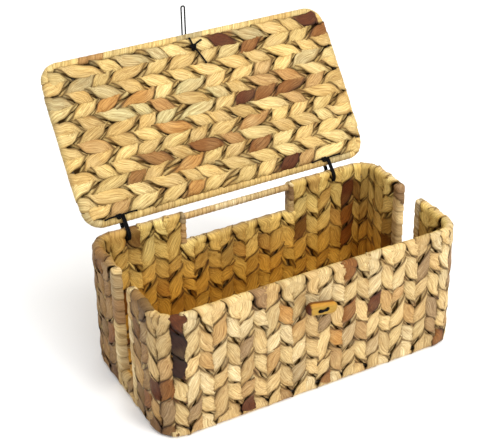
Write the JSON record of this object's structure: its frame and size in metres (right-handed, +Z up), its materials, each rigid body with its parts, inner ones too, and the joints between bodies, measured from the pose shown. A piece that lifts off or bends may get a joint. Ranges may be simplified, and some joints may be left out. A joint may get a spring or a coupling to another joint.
{
  "type": "cable management box",
  "caption": "Rectangular woven plant-fibre cable box with a tied-on hinged lid, end slots, a rear window, a thread loop and a wooden toggle.",
  "frame": {"origin": "centre of the box's footprint, on the surface that it stands on", "axes": "+Z up; +X along the long side, to the right seen from the front; -Y towards the front wall with the toggle; the lid hinges at the back, +Y"},
  "size_m": [0.33, 0.2879, 0.3044],
  "materials": {
    "woven_leaf": "matte",
    "leaf_strip": "matte",
    "frame_wire": "satin",
    "black_cord": "matte",
    "toggle_wood": "satin"
  },
  "bodies": {
    "box": {"base_ring_wire": "frame_wire", "floor_cross_wires": "frame_wire", "front_rim_wire": "frame_wire", "rear_rim_wire": "frame_wire", "front_wall_wires": "frame_wire", "rear_wall_wires": "frame_wire", "slot_post_wires": "frame_wire", "slot_sill_wires": "frame_wire", "window_post_wires": "frame_wire", "window_sill_wire": "frame_wire", "front_weave": "woven_leaf", "front_left_corner_weave": "woven_leaf", "front_right_corner_weave": "woven_leaf", "back_right_corner_weave": "woven_leaf", "back_left_corner_weave": "woven_leaf", "left_front_weave": "woven_leaf", "left_rear_weave": "woven_leaf", "right_front_weave": "woven_leaf", "right_rear_weave": "woven_leaf", "left_slot_sill_weave": "woven_leaf", "right_slot_sill_weave": "woven_leaf", "back_left_weave": "woven_leaf", "back_centre_weave": "woven_leaf", "back_right_weave": "woven_leaf", "floor_weave": "woven_leaf", "left_front_post_wrap": "leaf_strip", "left_rear_post_wrap": "leaf_strip", "right_front_post_wrap": "leaf_strip", "right_rear_post_wrap": "leaf_strip", "window_wrap_left": "leaf_strip", "window_wrap_right": "leaf_strip", "window_rim_wrap": "leaf_strip", "hinge_tie_left": "black_cord", "hinge_tie_right": "black_cord", "toggle_anchor": "black_cord"},
    "lid": {"lid_ring_wire": "frame_wire", "lid_cross_wires": "frame_wire", "lid_weave": "woven_leaf", "lid_front_wrap": "leaf_strip", "lid_rear_wrap": "leaf_strip", "tie_knot_left": "black_cord", "tie_knot_right": "black_cord", "loop_knot": "black_cord"},
    "closing_loop": {"closing_loop": "black_cord"},
    "toggle": {"toggle": "toggle_wood", "toggle_thread": "black_cord"}
  },
  "joints": [
    {"name": "lid_hinge", "type": "hinge", "parent": "box", "child": "lid", "pos_m": [0, 0.088, 0.142], "axis": [1, 0, 0], "range_deg": [0, 127]},
    {"name": "loop_swing", "type": "hinge", "parent": "lid", "child": "closing_loop", "pos_m": [0, 0.18489, 0.27058], "axis": [1, 0, 0], "range_deg": [-120, 12]},
    {"name": "toggle_turn", "type": "hinge", "parent": "box", "child": "toggle", "pos_m": [-0.002, -0.0909, 0.102], "axis": [0, 1, 0], "range_deg": [-90, 90]}
  ]
}
